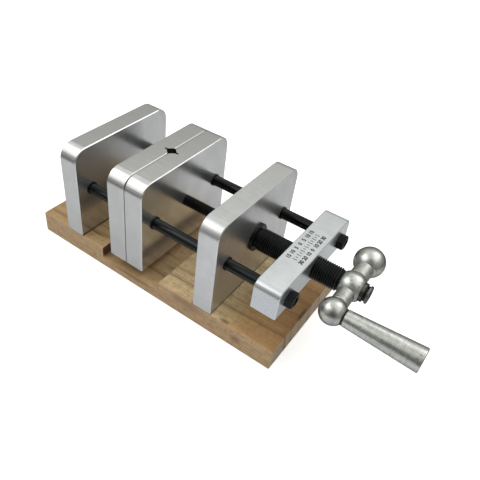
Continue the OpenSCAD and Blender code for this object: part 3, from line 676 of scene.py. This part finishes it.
    # Dark places: a knot by the bearing plate, a torn end, the cutter's burn under the groove, two stains
    # on the side and a crack in the top, each with its centre, size, colour and strength
    dark_places = (
        ((67.5, -46.4, 17.2), (4.2, 1.7, 2.0), "#62401F", 0.7),
        ((104.6, -7, 17), (1.6, 8, 3), "#5A3C24", 0.7),
        ((-14, -48, 6.8), (22, 3, 2.2), "#8A6038", 0.6),
        ((38, -48, 13), (14, 2, 6), "#9C7A62", 0.5),
        ((78, -48, 8.5), (5, 2, 4), "#8E6E5A", 0.6),
        ((-58, -38.5, 17.2), (9, 0.8, 2), "#6E4A2A", 0.7))
    for centre, size, colour, most in dark_places:
        location, scale = tuple(-c / s for c, s in zip(centre, size)), tuple(1 / s for s in size)
        nearby = add(tree, "Mapping", {"Vector": place, "Location": location, "Scale": scale})
        far = add(tree, "VectorMath", {0: nearby}, operation="LENGTH").outputs["Value"]
        far = add(tree, "Math", {0: mottle, 1: ragged, 2: far}, operation="MULTIPLY_ADD")
        share = add(tree, "MapRange", {"Value": far, "From Min": 0.9, "From Max": 1.7, "To Min": most,
                                       "To Max": 0.0})
        tone = add(tree, "Mix", {"Factor": share, "A": tone, "B": linear(colour)}, data_type="RGBA")

    # The groove's walls, burnt by the cutter, and its floor, darker as painted shade
    inside = add(tree, "Math", {0: split[0]}, operation="ABSOLUTE")
    inside = add(tree, "Math", {0: inside, 1: groove_within}, operation="LESS_THAN")
    inside = add(tree, "Math", {0: inside, 1: end_share}, operation="MULTIPLY")
    share = add(tree, "MapRange", {"Value": mottle, **NOISE_SPAN, "To Min": 0.7, "To Max": 1.0})
    share = add(tree, "Math", {0: inside, 1: share}, operation="MULTIPLY")
    tone = add(tree, "Mix", {"Factor": share, "A": tone, "B": linear("#5A3B22")}, data_type="RGBA")
    # Level faces below 12 mm are darkened; on the groove's floor this is painted shade
    sunk = add(tree, "Math", {0: split[2], 1: groove_below}, operation="LESS_THAN")
    upward = add(tree, "MapRange", {"Value": faces[2], "From Min": 0.6, "From Max": 0.8, "To Max": 0.4})
    share = add(tree, "Math", {0: sunk, 1: upward}, operation="MULTIPLY")
    tone = add(tree, "Mix", {"Factor": share, "A": tone, "B": linear("#8C6332")}, data_type="RGBA")

    share = add(tree, "Math", {0: pores, 1: pore_strength}, operation="MULTIPLY")
    tone = add(tree, "Mix", {"Factor": share, "A": tone, "B": linear("#5A4228")}, data_type="RGBA")
    rough = add(tree, "MapRange", {"Value": fibres, **NOISE_SPAN, "To Min": 0.5, "To Max": 0.68})
    height = add(tree, "Math", {0: fibres, 1: pores}, operation="SUBTRACT")
    raised = add(tree, "Bump", {"Height": height, "Distance": 0.05 * MM, "Strength": 1.0})
    shader = add(tree, "BsdfPrincipled", {"Base Color": tone, "Specular IOR Level": 0.3, "Roughness": rough,
                                          "Normal": raised})
    add(tree, "OutputMaterial", {0: shader})
    return made


materials = {
    "oiled_hardwood": laminated_hardwood("laminated_hardwood_oiled"),
    "brushed_aluminium": brushed_aluminium("aluminium_brushed"),
    "turned_steel": turned_steel("steel_turned", 1, apart=1.0, necks=True),
    "black_steel": black_oxide_steel("steel_black_oxide"),
    "bronze": bearing_bronze("bronze_machined"),
    "black_nylon": black_nylon("nylon_black_turned"),
}
jaw_aluminium = brushed_aluminium("aluminium_brushed_jaw", jaw=True, roughness=FINE_SATIN)
ground_rod = black_oxide_steel("steel_black_oxide_ground", 0, (0.14, 0.26), "#1B2023")
own_materials = {
    "rear_jaw": jaw_aluminium,
    "front_jaw": jaw_aluminium,
    "rear_plate": brushed_aluminium("aluminium_brushed_fine", roughness=FINE_SATIN),
    "pull_bar": brushed_aluminium("aluminium_brushed_sawn_ends", sawn=True, tint="#DFE1E4"),
    "guide_rod_near": ground_rod,
    "guide_rod_far": ground_rod,
    "rod_nuts": black_oxide_steel("steel_black_oxide_dull", roughness=(0.42, 0.6), worn_tone="#0A0C0D"),
    "grip": turned_steel("steel_turned_rubbed", 0, tint="#E4E5DF", streaked=True),
    "crank_washer": turned_steel("steel_turned_grey", 0, tint="#6A6A67"),
    "crank_screw": turned_steel("steel_turned_dull", 0, tint="#8C8C88"),
}
slots = {part["node"]: part["material_slot"] for part in frame["record"]["subparts"]}


def dress(piece, material):
    """Gives a piece one material all over."""
    piece.data.materials.clear()
    piece.data.materials.append(material)


for node_name, node_object in nodes.items():
    dress(node_object, own_materials.get(node_name, materials[slots[node_name]]))
dress(make_spindle(), black_oxide_steel("steel_black_oxide_thread", crest=SPINDLE_CREST))
dress(make_draw_screw(), materials["black_steel"])
dress(make_crank_arm(), materials["turned_steel"])
dress(make_bar_scale(), marking_black("laser_marking_black"))


# Stage

# Lengths in metres
FLOOR_HALF = 3.0
FLOOR_GAP = 0.02 * MM
LAMP_AIM = Vector((0, 0, 40)) * MM
LAMP_DISTANCE = 1.3
# The middle of the painted pool of light that the metal mirrors on the floor, and how far from it the tones
# are drawn, in millimetres
MIRRORED_POOL_MIDDLE = (60, -110, 0)
MIRRORED_POOL_REACH = 500
# Where the camera and its holder stand, as a level direction
CAMERA_SIDE = (0.31, -0.95, 0.0)
ROOM_STRENGTH = 1.05
CAMERA_SIDE_SHADE = 0.82


def floor_material():
    """Matt studio card: grey in light. In what the metal mirrors it has a painted pool of light in front
    of the vise and painted dimness further off. It is lifted to white for the camera, where it still
    keeps the object's shadow."""
    lift_to_white = 0.58
    made, tree, place, _ = new_material("studio_floor")
    path = add(tree, "LightPath").outputs
    away = add(tree, "VectorMath", {0: place, 1: MIRRORED_POOL_MIDDLE}, operation="DISTANCE").outputs["Value"]
    away = add(tree, "MapRange", {"Value": away, "From Max": MIRRORED_POOL_REACH})
    # What the metal mirrors: a painted pool of light near the vise, with painted dimness further off
    distances = [(20, "#F4F6FC"), (100, "#E0E1E5"), (270, "#D4D5D7"), (340, "#8A8A8A"), (500, "#6E6E6E")]
    distances = [(distance / MIRRORED_POOL_REACH, linear(tone)) for distance, tone in distances]
    mirrored = add(tree, "ValToRGB", {"Fac": away}, distances)
    tone = add(tree, "Mix", {"Factor": path["Is Glossy Ray"], "A": linear("#CBCBCB"), "B": mirrored},
               data_type="RGBA")
    seen = add(tree, "Math", {0: path["Is Camera Ray"], 1: path["Is Transmission Ray"]}, operation="MAXIMUM")
    tone = add(tree, "Mix", {"Factor": seen, "A": tone, "B": linear("#F2F2F2")}, data_type="RGBA")
    lift = add(tree, "Math", {0: seen, 1: lift_to_white}, operation="MULTIPLY")
    shader = add(tree, "BsdfPrincipled", {"Base Color": tone, "Roughness": 0.9, "Specular IOR Level": 0.0,
                                          "Emission Color": linear("#FFFFFF"), "Emission Strength": lift})
    add(tree, "OutputMaterial", {0: shader})
    made.cycles.emission_sampling = "NONE"
    return made


def make_floor():
    """A square sheet just under the board."""
    mesh = bpy.data.meshes.new("studio_floor")
    corners = [(x * FLOOR_HALF, y * FLOOR_HALF, -FLOOR_GAP) for x, y in ((-1, -1), (1, -1), (1, 1), (-1, 1))]
    mesh.from_pydata(corners, [], [(0, 1, 2, 3)])
    floor = new_object("studio_floor", mesh)
    dress(floor, floor_material())


def make_world():
    """White to the camera and through glass. For light and for what the metal mirrors it is a pale room:
    greyer at the horizon, brighter above it, and dark where the camera stands."""
    world = bpy.data.worlds.new("studio_world")
    bpy.context.scene.world = world
    world.use_nodes = True
    tree = world.node_tree
    tree.nodes.clear()
    direction = add(tree, "TexCoord").outputs["Generated"]
    up = add(tree, "SeparateXYZ", {0: direction}).outputs[2]
    heights = [(0.0, "#8F8F8E"), (0.26, "#A9AAA7"), (0.53, "#9A9A94"), (0.63, "#F6F9F3"), (0.75, "#F0F3EE"),
               (1.0, "#D8DAD8")]
    room = add(tree, "ValToRGB", {"Fac": up}, [(place, linear(colour)) for place, colour in heights])
    level = add(tree, "VectorMath", {0: direction, 1: (1, 1, 0)}, operation="MULTIPLY")
    level = add(tree, "VectorMath", {0: level}, operation="NORMALIZE")
    toward = add(tree, "VectorMath", {0: level, 1: CAMERA_SIDE}, operation="DOT_PRODUCT").outputs["Value"]
    beside = add(tree, "MapRange", {"Value": toward, "From Min": 0.76, "From Max": 0.94})
    below = add(tree, "MapRange", {"Value": up, "From Min": 0.97, "From Max": 0.84})
    shaded = add(tree, "Math", {0: beside, 1: below}, operation="MULTIPLY")
    strength = add(tree, "Math", {0: shaded, 1: -CAMERA_SIDE_SHADE, 2: ROOM_STRENGTH},
                   operation="MULTIPLY_ADD")
    lit = add(tree, "Background", {"Color": room, "Strength": strength})
    white = add(tree, "Background", {"Color": linear("#FFFFFF"), "Strength": 1.0})
    path = add(tree, "LightPath").outputs
    seen = add(tree, "Math", {0: path["Is Camera Ray"], 1: path["Is Transmission Ray"]}, operation="MAXIMUM")
    both = add(tree, "MixShader", {0: seen, 1: lit, 2: white})
    add(tree, "OutputWorld", {0: both})


def softbox(name, azimuth, elevation, width, height, brightness):
    """A lamp that faces the middle of the vise from an azimuth and elevation in degrees. Its power is
    brightness * pi * area, so that brightness 1 is as bright as a white wall."""
    data = bpy.data.lights.new(name, "AREA")
    data.shape = "RECTANGLE"
    data.size, data.size_y = width, height
    data.energy = brightness * math.pi * width * height
    azimuth, elevation = math.radians(azimuth), math.radians(elevation)
    away = Vector((math.cos(azimuth) * math.cos(elevation), math.sin(azimuth) * math.cos(elevation),
                   math.sin(elevation)))
    turn = away.to_track_quat("Z", "Y").to_matrix().to_4x4()
    new_object(name, data).matrix_world = Matrix.Translation(LAMP_AIM + away * LAMP_DISTANCE) @ turn


make_floor()
make_world()
softbox("softbox_left", -146, 43, 1.25, 1.0, 0.95)
softbox("softbox_left_core", -152, 49, 0.56, 0.56, 1.75)
softbox("softbox_right", 38, 62, 1.4, 1.0, 0.62)
softbox("softbox_right_core", 52, 45, 0.56, 0.8, 1.4)

scene = bpy.context.scene
scene.view_settings.view_transform = "Standard"
bpy.context.view_layer.update()
